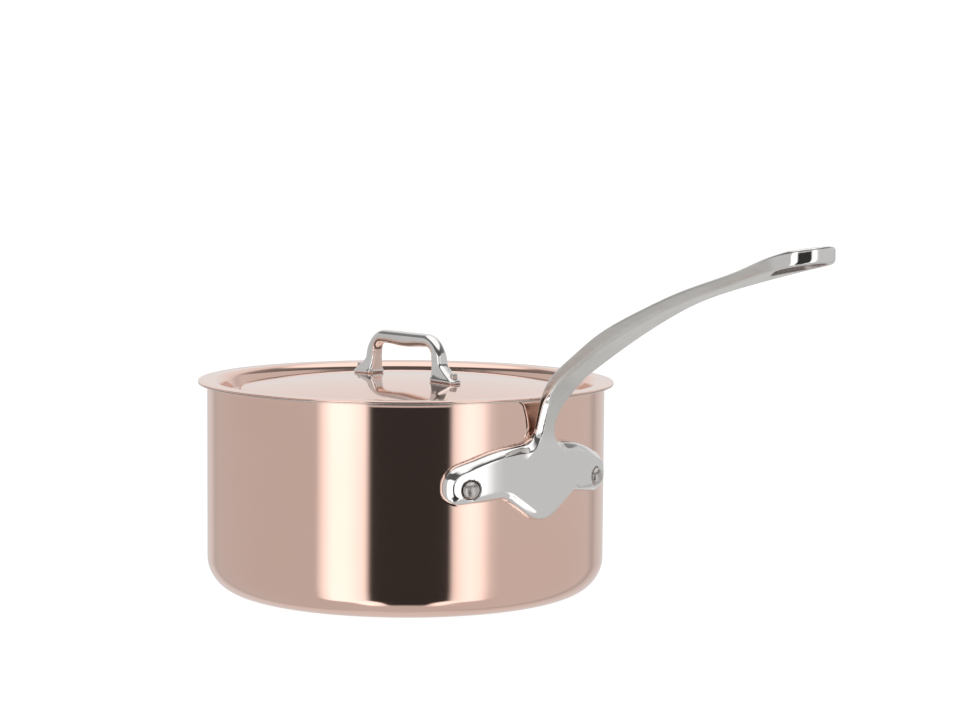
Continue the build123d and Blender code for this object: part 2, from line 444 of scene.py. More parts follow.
class Slot(Enum):
    """The record's material slots."""

    COPPER = "copper"
    LINING = "lining_steel"
    CAST = "cast_steel"
    POLISHED = "polished_steel"
    RIVET = "rivet_steel"


def worn(finish: Finish) -> bpy.types.Material:
    """The finish's material, made the first time that it is asked for."""
    return bpy.data.materials.get(finish.name) or finish.material()


def show(
    name: str, mesh: bpy.types.Mesh, finish: Finish, body: Body, nodes: Sequence[str]
) -> bpy.types.Object:
    """Puts a finished mesh into the scene as a piece of the pan.

    Args:
        name: the piece's name.
        mesh: its mesh, in metres, in place.
        finish: the finish that it wears.
        body: the body that it rides on.
        nodes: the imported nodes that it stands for.

    Returns:
        The new object.
    """
    piece = bpy.data.objects.new(name, mesh)
    bpy.context.scene.collection.objects.link(piece)
    mesh.materials.clear()
    mesh.materials.append(worn(finish))
    mesh.shade_smooth()
    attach(piece, body.value)
    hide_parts(*nodes)
    log.info("%s: %d faces, stands for %s", name, len(mesh.polygons), ", ".join(nodes))
    return piece


def close_mesh(mesh: bpy.types.Mesh) -> bpy.types.Mesh:
    """Merges doubles, then turns every face outwards.

    Args:
        mesh: the mesh, which is changed.

    Returns:
        The same mesh.
    """
    work = bmesh.new()
    work.from_mesh(mesh)
    bmesh.ops.remove_doubles(work, verts=work.verts, dist=MERGE)
    bmesh.ops.recalc_face_normals(work, faces=work.faces)
    work.to_mesh(mesh)
    work.free()
    return mesh


def plain_mesh(name: str, points: Array, faces: Array) -> bpy.types.Mesh:
    """A mesh in metres from points in millimetres.

    Args:
        name: the mesh's name.
        points: its points.
        faces: its faces, as rows of point numbers.

    Returns:
        The mesh.
    """
    mesh = bpy.data.meshes.new(name)
    mesh.from_pydata((points * MM).tolist(), [], faces.tolist())
    return mesh


class Corner(NamedTuple):
    """A corner of an outline and the radius that rounds it."""

    across: float
    height: float
    round: float = 0.0


ARC_STEP = math.radians(4.0)


def rounded_line(corners: Sequence[Corner]) -> Array:
    """Points along a line whose corners are rounded by arcs.

    Args:
        corners: the line's corners; one of no radius is kept as it is.

    Returns:
        The points, one a row.
    """
    points: list[Array] = []
    for index, corner in enumerate(corners):
        here = np.array(corner[:2])
        if corner.round == 0.0:
            points.append(here[None])
            continue
        back = np.array(corners[index - 1][:2]) - here
        ahead = np.array(corners[(index + 1) % len(corners)][:2]) - here
        back /= np.linalg.norm(back)
        ahead /= np.linalg.norm(ahead)
        half = math.acos(float(back @ ahead)) / 2
        inward = (back + ahead) / np.linalg.norm(back + ahead)
        middle = here + inward * corner.round / math.sin(half)
        start = here + back * corner.round / math.tan(half) - middle
        end = here + ahead * corner.round / math.tan(half) - middle
        first = math.atan2(start[1], start[0])
        sweep = (math.atan2(end[1], end[0]) - first + math.pi) % (2 * math.pi) - math.pi
        angles = first + sweep * np.linspace(0, 1, max(2, math.ceil(abs(sweep) / ARC_STEP)) + 1)
        points.append(middle + corner.round * np.stack([np.cos(angles), np.sin(angles)], axis=1))
    return np.concatenate(points)


class Outline:
    """A closed outline that gives the distance to its edge, negative inside."""

    CHUNK = 8000
    SHORTEST = 1e-12

    def __init__(self, points: Array) -> None:
        """Keeps the outline's sides as starts and runs.

        Args:
            points: the outline's points, in order.
        """
        self.start = points
        self.run = np.roll(points, -1, axis=0) - points
        keep = (self.run**2).sum(1) > self.SHORTEST
        self.start, self.run = self.start[keep], self.run[keep]

    def distance(self, across: Array, height: Array) -> Array:
        """Signed distance to the edge.

        Args:
            across: places across the outline.
            height: heights, which broadcast with them.

        Returns:
            The distances.
        """
        shape = np.broadcast(across, height).shape
        flat = np.stack([np.broadcast_to(v, shape).ravel() for v in (across, height)], axis=1)
        parts = [self._part(flat[i : i + self.CHUNK]) for i in range(0, len(flat), self.CHUNK)]
        return np.concatenate(parts).reshape(shape)

    def _part(self, points: Array) -> Array:
        """Signed distance for a list of points.

        Args:
            points: the points, one a row.

        Returns:
            The distances.
        """
        away = points[:, None] - self.start
        share = np.clip((away * self.run).sum(2) / (self.run**2).sum(1), 0, 1)
        nearest = ((away - share[..., None] * self.run) ** 2).sum(2).min(1)
        low, high = self.start[:, 1], self.start[:, 1] + self.run[:, 1]
        level = points[:, 1, None]
        crossed = (level >= low) != (level >= high)
        slope = self.run[:, 0] / np.where(self.run[:, 1] == 0, 1, self.run[:, 1])
        right = points[:, 0, None] < self.start[:, 0] + (level - low) * slope
        inside = (crossed & right).sum(1) % 2 == 1
        return np.where(inside, -1, 1) * np.sqrt(nearest)


class Track:
    """A smooth line in the handle's plane, with widths and thicknesses along it."""

    SAMPLES = 90
    STEPS = 3
    LEAST_SLOPE = 0.1

    def __init__(self, rows: Array) -> None:
        """Fits a natural cubic through the stations.

        Args:
            rows: reach, height, width and thickness at each station.
        """
        self.rows = rows
        gaps = np.hypot(np.diff(rows[:, 0]), np.diff(rows[:, 1]))
        self.knots = np.concatenate([[0.0], np.cumsum(gaps)])
        count = len(rows)
        system = np.eye(count)
        right = np.zeros_like(rows)
        for i in range(1, count - 1):
            system[i, i - 1 : i + 2] = gaps[i - 1] / 6, (gaps[i - 1] + gaps[i]) / 3, gaps[i] / 6
            right[i] = (rows[i + 1] - rows[i]) / gaps[i] - (rows[i] - rows[i - 1]) / gaps[i - 1]
        self.bends = np.linalg.solve(system, right)

    def at(self, along: Array, order: int = 0) -> Array:
        """The row at distances along the line, or a derivative of it.

        Args:
            along: distances along the line.
            order: 0 for the row, 1 or 2 for a derivative of it.

        Returns:
            Reach, height, width and thickness on the last axis.
        """
        i = np.clip(np.searchsorted(self.knots, along, side="right") - 1, 0, len(self.knots) - 2)
        gap = (self.knots[i + 1] - self.knots[i])[..., None]
        b = (along - self.knots[i])[..., None] / gap
        a = 1 - b
        if order == 0:
            bend = ((a**3 - a) * self.bends[i] + (b**3 - b) * self.bends[i + 1]) * gap**2 / 6
            return a * self.rows[i] + b * self.rows[i + 1] + bend
        if order == 1:
            bend = ((3 * b**2 - 1) * self.bends[i + 1] - (3 * a**2 - 1) * self.bends[i]) * gap / 6
            return (self.rows[i + 1] - self.rows[i]) / gap + bend
        return a * self.bends[i] + b * self.bends[i + 1]

    def nearest(self, x: Array, z: Array) -> tuple[Array, Array]:
        """Finds the nearest point of the line.

        Args:
            x: places along the handle.
            z: heights.

        Returns:
            How far along the line the nearest point is, and the signed distance above it.
        """
        point = np.stack(np.broadcast_arrays(x, z), axis=-1)
        marks = np.linspace(0, self.knots[-1], self.SAMPLES)
        line = self.at(marks)[:, :2]
        reach = sum((point[..., None, k] - line[:, k]) ** 2 for k in range(2))
        along = marks[np.argmin(reach, axis=-1)]
        for _ in range(self.STEPS):
            gap = self.at(along)[..., :2] - point
            speed = self.at(along, 1)[..., :2]
            turn = self.at(along, 2)[..., :2]
            slope = (speed**2).sum(-1) + (gap * turn).sum(-1)
            step = (gap * speed).sum(-1) / np.maximum(slope, self.LEAST_SLOPE)
            along = np.clip(along - step, 0, self.knots[-1])
        gap = point - self.at(along)[..., :2]
        speed = self.at(along, 1)[..., :2]
        above = gap[..., 1] * speed[..., 0] - gap[..., 0] * speed[..., 1]
        return along, above / np.linalg.norm(speed, axis=-1)


def smooth_max(first: Array, second: Array, blend: float) -> Array:
    """The larger of two fields, rounded over a width where they meet."""
    overlap = np.maximum(blend - np.abs(first - second), 0)
    return np.maximum(first, second) + overlap**2 / (4 * blend)


def smooth_min(first: Array, second: Array, blend: float) -> Array:
    """The smaller of two fields, filleted over a width where they meet."""
    return -smooth_max(-first, -second, blend)


def smooth_step(value: Array, low: float, high: float) -> Array:
    """A smooth step from 0 at the low value to 1 at the high value."""
    share = np.clip((value - low) / (high - low), 0, 1)
    return share**2 * (3 - 2 * share)


def rounded_box(first: Array, second: Array, half: tuple[Array, Array], radius: Array) -> Array:
    """Distance to the edge of a rectangle with rounded corners.

    Args:
        first: distance off the middle one way.
        second: distance off the middle the other way.
        half: half of each side.
        radius: the corners' radius.

    Returns:
        The distance, negative inside.
    """
    a = np.abs(first) - half[0] + radius
    b = np.abs(second) - half[1] + radius
    outside = np.hypot(np.maximum(a, 0), np.maximum(b, 0))
    return outside + np.minimum(np.maximum(a, b), 0) - radius


class Casting:
    """A cast piece whose surface is where a field of distance is zero."""

    PULLS = 3
    PROBE = 0.02
    LEAST_SLOPE = 0.05
    LONGEST_PULL = 1.0
    TETRAHEDRON = np.array([[1, -1, -1], [-1, -1, 1], [-1, 1, -1], [1, 1, 1]], float)

    def field(self, x: Array, y: Array, z: Array) -> Array:
        """Distance to the surface in millimetres, negative inside."""
        raise NotImplementedError

    def skin(self, low: Array, high: Array, step: float) -> tuple[Array, Array]:
        """The piece's surface as points and four-sided faces.

        Args:
            low: lowest corner of the space that is searched.
            high: highest corner of that space.
            step: size of the search's cells; the faces are half of it.

        Returns:
            The points and the faces.
        """
        axes = [np.arange(a, b + step, step) for a, b in zip(low, high)]
        values = self.field(axes[0][:, None, None], axes[1][None, :, None], axes[2][None, None, :])
        points, faces = surface_net(values, np.array([a[0] for a in axes]), step)
        for _ in range(self.PULLS):
            points = self.pull(relax(points, faces))
        points, faces = split_faces(points, faces)
        points = self.pull(relax(self.pull(points), faces))
        return self.pull(points), faces

    def slope(self, points: Array) -> tuple[Array, Array]:
        """Probes the field round a list of points.

        Args:
            points: the points, one a row.

        Returns:
            The field's value and its gradient at each point.
        """
        probes = [self.field(*(points + self.PROBE * corner).T) for corner in self.TETRAHEDRON]
        gradient = sum(value[:, None] * corner for value, corner in zip(probes, self.TETRAHEDRON))
        return sum(probes) / 4, gradient / (4 * self.PROBE)

    def pull(self, points: Array) -> Array:
        """Moves points onto the surface.

        Args:
            points: the points, one a row.

        Returns:
            The moved points.
        """
        value, gradient = self.slope(points)
        size = np.maximum((gradient**2).sum(1), self.LEAST_SLOPE)
        return points - np.clip(value / size, -self.LONGEST_PULL, self.LONGEST_PULL)[:, None] * gradient


def surface_net(values: Array, low: Array, step: float) -> tuple[Array, Array]:
    """Four-sided faces where a sampled field changes sign, with outward normals.

    Args:
        values: the field on a grid, negative inside.
        low: the grid's first point.
        step: the grid's spacing.

    Returns:
        The points and the faces.
    """
    inside = values < 0
    cells = np.array(values.shape) - 1
    corners = [np.array([i, j, k]) for i in (0, 1) for j in (0, 1) for k in (0, 1)]
    part = [tuple(slice(c[a], c[a] + cells[a]) for a in range(3)) for c in corners]
    full = sum(inside[p].astype(np.int8) for p in part)
    mixed = (full > 0) & (full < len(corners))
    place = np.argwhere(mixed)
    number = np.full(cells, -1)
    number[mixed] = np.arange(len(place))
    at_corner = [values[p][mixed] for p in part]
    total = np.zeros((len(place), 3))
    hits = np.zeros(len(place))
    for p, first in enumerate(corners):
        for q, second in enumerate(corners):
            if (second - first).sum() != 1 or np.abs(second - first).sum() != 1:
                continue
            crossed = (at_corner[p] < 0) != (at_corner[q] < 0)
            span = np.where(crossed, at_corner[p] - at_corner[q], 1)
            share = np.where(crossed, at_corner[p] / span, 0)
            total += crossed[:, None] * (first + share[:, None] * (second - first))
            hits += crossed
    points = low + step * (place + total / hits[:, None])
    faces = []
    for axis in range(3):
        side, up = np.eye(3, dtype=int)[(axis + 1) % 3], np.eye(3, dtype=int)[(axis + 2) % 3]
        here = inside[tuple(slice(0, -1) if a == axis else slice(1, -1) for a in range(3))]
        there = inside[tuple(slice(1, None) if a == axis else slice(1, -1) for a in range(3))]
        edges = np.argwhere(here != there)
        leaving = here[tuple(edges.T)]
        edges = edges + side + up
        ring = np.stack([number[tuple((edges - o).T)] for o in (side + up, up, 0 * up, side)], axis=1)
        faces.append(np.where(leaving[:, None], ring, ring[:, ::-1]))
    return points, np.concatenate(faces)


def face_edges(faces: Array) -> Array:
    """Each face's sides as sorted pairs of points, face by face."""
    return np.sort(np.stack([faces, np.roll(faces, -1, axis=1)], axis=2), axis=2).reshape(-1, 2)


def relax(points: Array, faces: Array) -> Array:
    """Moves each point half way to the middle of its neighbours.

    Args:
        points: the points.
        faces: the faces that join them.

    Returns:
        The moved points.
    """
    edges = np.unique(face_edges(faces), axis=0)
    total = np.zeros_like(points)
    count = np.zeros(len(points))
    for here, there in (edges.T, edges.T[::-1]):
        np.add.at(total, here, points[there])
        np.add.at(count, here, 1)
    return (points + total / count[:, None]) / 2


def split_faces(points: Array, faces: Array) -> tuple[Array, Array]:
    """Splits each four-sided face into four.

    Args:
        points: the points.
        faces: the faces.

    Returns:
        All points, old and new, and the new faces.
    """
    edges, which = np.unique(face_edges(faces), axis=0, return_inverse=True)
    sides = len(points) + which.reshape(-1, 4)
    middles = len(points) + len(edges) + np.arange(len(faces))
    quarters = [
        np.stack([faces[:, k], sides[:, k], middles, sides[:, k - 1]], axis=1) for k in range(4)
    ]
    every = np.concatenate([points, points[edges].mean(1), points[faces].mean(1)])
    return every, np.concatenate(quarters)


def new_tree(name: str, inputs: dict[str, str]) -> tuple[Graph, Wire]:
    """A Geometry Nodes tree with named inputs and one geometry output.

    Args:
        name: the tree's name.
        inputs: the kind of socket for each named input.

    Returns:
        The tree's graph and its input node.
    """
    tree = bpy.data.node_groups.new(name, "GeometryNodeTree")
    for label, kind in inputs.items():
        tree.interface.new_socket(label, in_out="INPUT", socket_type=f"NodeSocket{kind}")
    tree.interface.new_socket("Geometry", in_out="OUTPUT", socket_type="NodeSocketGeometry")
    graph = Graph(tree)
    return graph, graph.node("NodeGroupInput")


def grow(tree: bpy.types.NodeTree, seed: bpy.types.Mesh, values: dict[str, object]) -> bpy.types.Mesh:
    """Runs a Geometry Nodes tree once and keeps its result as a plain mesh.

    Args:
        tree: the tree.
        seed: the mesh that the tree starts from.
        values: a value for each of the tree's named inputs.

    Returns:
        The mesh that the tree makes.
    """
    carrier = bpy.data.objects.new(seed.name + "_carrier", seed)
    bpy.context.scene.collection.objects.link(carrier)
    modifier = carrier.modifiers.new(tree.name, "NODES")
    modifier.node_group = tree
    for item in tree.interface.items_tree:
        if item.name in values:
            modifier[item.identifier] = values[item.name]
    evaluated = carrier.evaluated_get(bpy.context.evaluated_depsgraph_get())
    mesh = bpy.data.meshes.new_from_object(evaluated)
    carrier.modifiers.clear()
    bpy.data.objects.remove(carrier)
    return mesh


class TurnedPot:
    """Geometry Nodes that turn a pot from sheet: flat base, round corner, straight wall and rounded rim."""

    ROWS = 241
    COLUMNS = 257
    GRID_HALF = 0.5
    FACE_SHARE = 0.47
    BASE_END = 0.25
    CORNER_END = 0.75

    def __init__(self) -> None:
        """Builds the tree."""
        sizes = {label: "Float" for label in ("Radius", "Base", "Height", "Corner", "Sheet", "Rim")}
        graph, given = new_tree("turned_pot", {"Geometry": "Geometry", **sizes, "Material": "Material"})
        counts = {"Size X": 1.0, "Size Y": 1.0, "Vertices X": self.COLUMNS, "Vertices Y": self.ROWS}
        grid = graph.node("GeometryNodeMeshGrid", inputs=counts)
        spot = graph.node("ShaderNodeSeparateXYZ", inputs={0: graph.node("GeometryNodeInputPosition")})
        turn = (spot + self.GRID_HALF) * (2 * math.pi)
        sweep = spot.out("Y") + self.GRID_HALF
        rise = (sweep / self.FACE_SHARE).math("MINIMUM", (1.0 - sweep) / self.FACE_SHARE).clamp(0.0, 1.0)
        over = self.stretch(sweep, self.FACE_SHARE, 1 - self.FACE_SHARE) * math.pi
        inset = given.out("Sheet") * (1.0 - over.math("COSINE")) / 2
        corner = given.out("Corner") - inset
        bend = self.stretch(rise, self.BASE_END, self.CORNER_END) * (math.pi / 2)
        flat = (given.out("Radius") - given.out("Corner")) * self.stretch(rise, 0.0, self.BASE_END)
        wall = given.out("Height") - given.out("Corner") - given.out("Base") - given.out("Rim")
        radius = flat + corner * bend.math("SINE")
        height = given.out("Base") + given.out("Corner") - corner * bend.math("COSINE")
        height = height + wall * self.stretch(rise, self.CORNER_END, 1.0)
        height = height + given.out("Rim") * over.math("SINE")
        spun = {0: radius * turn.math("COSINE"), 1: radius * turn.math("SINE"), 2: height}
        moved = {"Geometry": grid, "Position": graph.node("ShaderNodeCombineXYZ", inputs=spun)}
        pot = graph.node("GeometryNodeSetPosition", inputs=moved)
        pot = graph.node("GeometryNodeMergeByDistance", inputs={"Geometry": pot, "Distance": MERGE})
        pot = graph.node("GeometryNodeRealizeInstances", inputs={"Geometry": pot})
        dressed = {"Geometry": pot, "Material": given.out("Material")}
        pot = graph.node("GeometryNodeSetMaterial", inputs=dressed)
        graph.node("NodeGroupOutput", inputs={"Geometry": pot})
        self.tree = graph.tree

    @staticmethod
    def stretch(share: Wire, start: float, end: float) -> Wire:
        """How far a share has come between two others, from 0 to 1."""
        return ((share - start) / (end - start)).clamp(0.0, 1.0)


@dataclass
class Pan:
    """The pan: a copper shell with a thin steel lining inside it."""

    copper_wall: float = 1.6
    lining_wall: float = 0.4
    corner_radius: float = 17.5
    rim_round: float = 0.25

    def build(self) -> None:
        """Makes and dresses both shells."""
        low, high = node_box("pan_copper_shell")
        tree = TurnedPot().tree
        layers = [
            ("pan_copper_shell", Slot.COPPER, MirrorCopper(), 0.0, self.copper_wall),
            ("pan_steel_lining", Slot.LINING, RingBrushedSteel(), self.copper_wall, self.lining_wall),
        ]
        for node, slot, finish, inset, sheet in layers:
            sizes = {
                "Radius": high[0] - inset,
                "Base": low[2] + inset,
                "Height": high[2],
                "Corner": self.corner_radius - inset,
                "Sheet": sheet,
                "Rim": min(self.rim_round, sheet / 2),
            }
            values = {label: float(size * MM) for label, size in sizes.items()}
            values["Material"] = worn(finish)
            mesh = grow(tree, bpy.data.meshes.new(node), values)
            show(f"{node}_dressed", close_mesh(mesh), finish, Body.PAN, [node])


@dataclass
class LidSheet:
    """The lid: a pressed copper disc with a low dome and a drop ring, lined with thin steel."""

    copper_wall: float = 1.0
    lining_wall: float = 0.4
    shoulder_run: float = 4.5
    groove_width: float = 4.5
    wall_draft: float = 2.4
    drop_depth: float = 9.0
    flange_run: float = 10.8
    dome_rise: float = 1.8
    dome_edge_drop: float = 3.6
    bend_radius: float = 2.5
    flange_round: float = 4.5
    columns: int = 256
    edge_points: int = 9
    dome_rows: int = 28
    support: float = 0.4
    long_run: float = 4.0

    def __post_init__(self) -> None:
        """Takes the lid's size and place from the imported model."""
        _, high = node_box("lid_copper_shell")
        self.flange_radius = high[0]
        self.dome_top = high[2]
        self.top = self.dome_top - self.dome_rise
        self.wall_radius = self.flange_radius - self.flange_run
        self.groove_outer = self.wall_radius - self.wall_draft
        self.groove_inner = self.groove_outer - self.groove_width
        self.dome_radius = self.groove_inner - self.shoulder_run
        sag = self.dome_rise + self.dome_edge_drop
        self.sphere_radius = (self.dome_radius**2 + sag**2) / (2 * sag)

    def dome_height(self, radius: Array) -> Array:
        """Height of the dome's outer face at a radius from the axis."""
        reach = np.minimum(radius, self.dome_radius)
        return self.dome_top - self.sphere_radius + np.sqrt(self.sphere_radius**2 - reach**2)

    def face_line(self) -> Array:
        """Draws the outer face from the axis to the flange's edge.

        Returns:
            Radius and height at each point.
        """
        groove = self.top - self.drop_depth
        radii = np.linspace(0, self.dome_radius - self.shoulder_run, self.dome_rows)
        dome = np.stack([radii, self.dome_height(radii)], axis=1)
        corners = [
            Corner(*dome[-1]),
            Corner(self.dome_radius, float(self.dome_height(self.dome_radius)), self.bend_radius),
            Corner(self.groove_inner, groove, self.bend_radius),
            Corner(self.groove_outer, groove, self.bend_radius),
            Corner(self.wall_radius, self.top, self.flange_round),
            Corner(self.flange_radius, self.top),
        ]
        return np.concatenate([dome[:-1], rounded_line(corners)])

    def sheet(self, above: float, below: float) -> Array:
        """Draws the closed section of one layer, with a rounded edge.

        Args:
            above: depth of the layer's upper side under the outer face.
            below: depth of its under side.

        Returns:
            Radius and height at each point.
        """
        line = supported(self.face_line(), self.support, self.long_run)
        run = np.gradient(line, axis=0)
        normal = np.stack([-run[:, 1], run[:, 0]], axis=1) / np.linalg.norm(run, axis=1)[:, None]
        normal[0] = normal[-1] = (0.0, 1.0)
        upper, under = line - above * normal, line - below * normal
        half = (below - above) / 2
        bend = np.linspace(math.pi / 2, -math.pi / 2, self.edge_points)
        middle = np.array([line[-1, 0] - half, self.top - above - half])
        edge = middle + half * np.stack([np.cos(bend), np.sin(bend)], axis=1)
        inner = upper[:, 0] < middle[0]
        return np.concatenate([upper[inner], edge, under[inner][::-1]])

    def build(self) -> None:
        """Makes and dresses both layers."""
        lined = self.copper_wall + self.lining_wall
        layers = [
            ("lid_copper_shell", Slot.COPPER, MirrorCopper(), 0.0, self.copper_wall),
            ("lid_steel_lining", Slot.LINING, RingBrushedSteel(), self.copper_wall, lined),
        ]
        for node, slot, finish, above, below in layers:
            mesh = spin(f"{node}_dressed", self.sheet(above, below), self.columns)
            show(mesh.name, mesh, finish, Body.LID, [node])


def supported(line: Array, gap: float, long_run: float) -> Array:
    """Adds points close to the ends of long straight runs, so that smooth shading stays flat there.

    Args:
        line: the line's points.
        gap: how far from the ends the new points lie.
        long_run: the length past which a run gets them.

    Returns:
        The line with the new points.
    """
    points = [line[0]]
    for start, end in zip(line[:-1], line[1:]):
        run = end - start
        length = np.linalg.norm(run)
        if length > long_run:
            points += [start + run * gap / length, end - run * gap / length]
        points.append(end)
    return np.array(points)


def spin(name: str, section: Array, columns: int) -> bpy.types.Mesh:
    """A closed mesh from a section turned round the axis.

    Args:
        name: the mesh's name.
        section: radius and height along it; it starts and ends on the axis.
        columns: how many steps a turn has.

    Returns:
        The mesh.
    """
    angles = np.arange(columns) * 2 * math.pi / columns
    radius, height = section[:, 0][:, None], section[:, 1][:, None]
    places = np.broadcast_arrays(radius * np.cos(angles), radius * np.sin(angles), height)
    points = np.stack(places, axis=2)
    rows = np.arange(len(section))[:, None] * columns
    here = rows + np.arange(columns)
    ahead = rows + (np.arange(columns) + 1) % columns
    faces = np.stack([here[:-1], ahead[:-1], ahead[1:], here[1:]], axis=2).reshape(-1, 4)
    return close_mesh(plain_mesh(name, points.reshape(-1, 3), faces))


@dataclass(frozen=True)
class RivetSize:
    """A rivet's sizes: its domed head, its shank and the flatter head on the inside."""

    head_radius: float
    head_height: float
    squareness: float
    shank_radius: float
    inner_radius: float
    inner_height: float

    def inputs(self, grip: float) -> dict[str, float]:
        """The rivet tree's inputs.

        Args:
            grip: the length between the two heads, in millimetres.

        Returns:
            Each input by its name, lengths in metres.
        """
        lengths = {
            "Head radius": self.head_radius,
            "Head height": self.head_height,
            "Shank radius": self.shank_radius,
            "Grip": grip,
            "Inner radius": self.inner_radius,
            "Inner height": self.inner_height,
        }
        return {"Squareness": self.squareness, **{name: float(size * MM) for name, size in lengths.items()}}


class RivetHeads:
    """Geometry Nodes that set a rivet on each point of a seed mesh, along the point's axis attribute."""

    AXIS = "axis"
    HEAD = ("Head radius", "Head height", "Squareness")
    SIZES = (*HEAD, "Shank radius", "Grip", "Inner radius", "Inner height")
    SHANK_SIDES = 40
    HEAD_SEGMENTS = 48
    HEAD_RINGS = 40
    LEAST_SIZE = 0.001

    def __init__(self) -> None:
        """Builds the tree."""
        sizes = {label: "Float" for label in self.SIZES}
        graph, given = new_tree("rivet_heads", {"Geometry": "Geometry", **sizes, "Material": "Material"})
        head = self.cap(graph, given, "Head radius", "Head height", 1.0)
        foot = self.cap(graph, given, "Inner radius", "Inner height", -1.0)
        sunk = graph.node("ShaderNodeCombineXYZ", inputs={2: -1.0 * given.out("Grip")})
        foot = graph.node("GeometryNodeTransform", inputs={"Geometry": foot, "Translation": sunk})
        half = graph.node("ShaderNodeCombineXYZ", inputs={2: given.out("Grip") / -2})
        stem = {"Radius": given.out("Shank radius"), "Depth": given.out("Grip")}
        shank = graph.node("GeometryNodeMeshCylinder", inputs={"Vertices": self.SHANK_SIDES, **stem})
        shank = graph.node("GeometryNodeTransform", inputs={"Geometry": shank, "Translation": half})
        join = graph.node("GeometryNodeJoinGeometry")
        for part in (head, foot, shank):
            graph.tree.links.new(part.socket, join.socket.node.inputs[0])
        vector = {"data_type": "FLOAT_VECTOR"}
        axis = graph.node("GeometryNodeInputNamedAttribute", vector, {"Name": self.AXIS})
        aim = graph.node("FunctionNodeAlignRotationToVector", {"axis": "Z"}, {"Vector": axis})
        places = {"Points": given.out("Geometry"), "Instance": join, "Rotation": aim}
        rivets = graph.node("GeometryNodeInstanceOnPoints", inputs=places)
        rivets = graph.node("GeometryNodeRealizeInstances", inputs={"Geometry": rivets})
        dressed = {"Geometry": rivets, "Material": given.out("Material")}
        rivets = graph.node("GeometryNodeSetMaterial", inputs=dressed)
        graph.node("NodeGroupOutput", inputs={"Geometry": rivets})
        self.tree = graph.tree

    def cap(self, graph: Graph, given: Wire, radius: str, height: str, way: float) -> Wire:
        """A domed head, round in plan, flat where it sits and squarer the higher the squareness.

        Args:
            graph: the tree's graph.
            given: the tree's input node.
            radius: the input with the head's radius.
            height: the input with its height.
            way: 1 for a head that points along the axis, -1 for one that points back.

        Returns:
            The head's geometry.
        """
        counts = {"Segments": self.HEAD_SEGMENTS, "Rings": self.HEAD_RINGS, "Radius": 1.0}
        ball = graph.node("GeometryNodeMeshUVSphere", inputs=counts)
        spot = graph.node("ShaderNodeSeparateXYZ", inputs={0: graph.node("GeometryNodeInputPosition")})
        level = (spot.out("Z") * way).math("MAXIMUM", 0.0)
        plan = (spot * spot + spot.out("Y") * spot.out("Y")).math("SQRT")
        power = given.out("Squareness")
        size = (plan**power + level**power).math("MAXIMUM", self.LEAST_SIZE) ** (-1.0 / power)
        wide = size * given.out(radius)
        parts = {0: spot * wide, 1: spot.out("Y") * wide, 2: level * way * size * given.out(height)}
        moved = {"Geometry": ball, "Position": graph.node("ShaderNodeCombineXYZ", inputs=parts)}
        return graph.node("GeometryNodeSetPosition", inputs=moved)

    def set_out(
        self, name: str, seats: Array, axes: Array, size: RivetSize, grip: float, finish: Finish
    ) -> bpy.types.Mesh:
        """Rivets in place as one mesh.

        Args:
            name: the mesh's name.
            seats: where each head sits, in millimetres.
            axes: the way that each head points.
            size: the rivets' size.
            grip: the length between their two heads.
            finish: the rivets' finish.

        Returns:
            The mesh.
        """
        seed = plain_mesh(name, seats, np.empty((0, 3), int))
        attribute = seed.attributes.new(self.AXIS, "FLOAT_VECTOR", "POINT")
        attribute.data.foreach_set("vector", np.asarray(axes, np.float32).ravel())
        return close_mesh(grow(self.tree, seed, {**size.inputs(grip), "Material": worn(finish)}))


class Station(NamedTuple):
    """A station of the arm: its reach past the wall, its rise over the rim, its width and its thickness."""

    reach: float
    rise: float
    width: float
    thickness: float


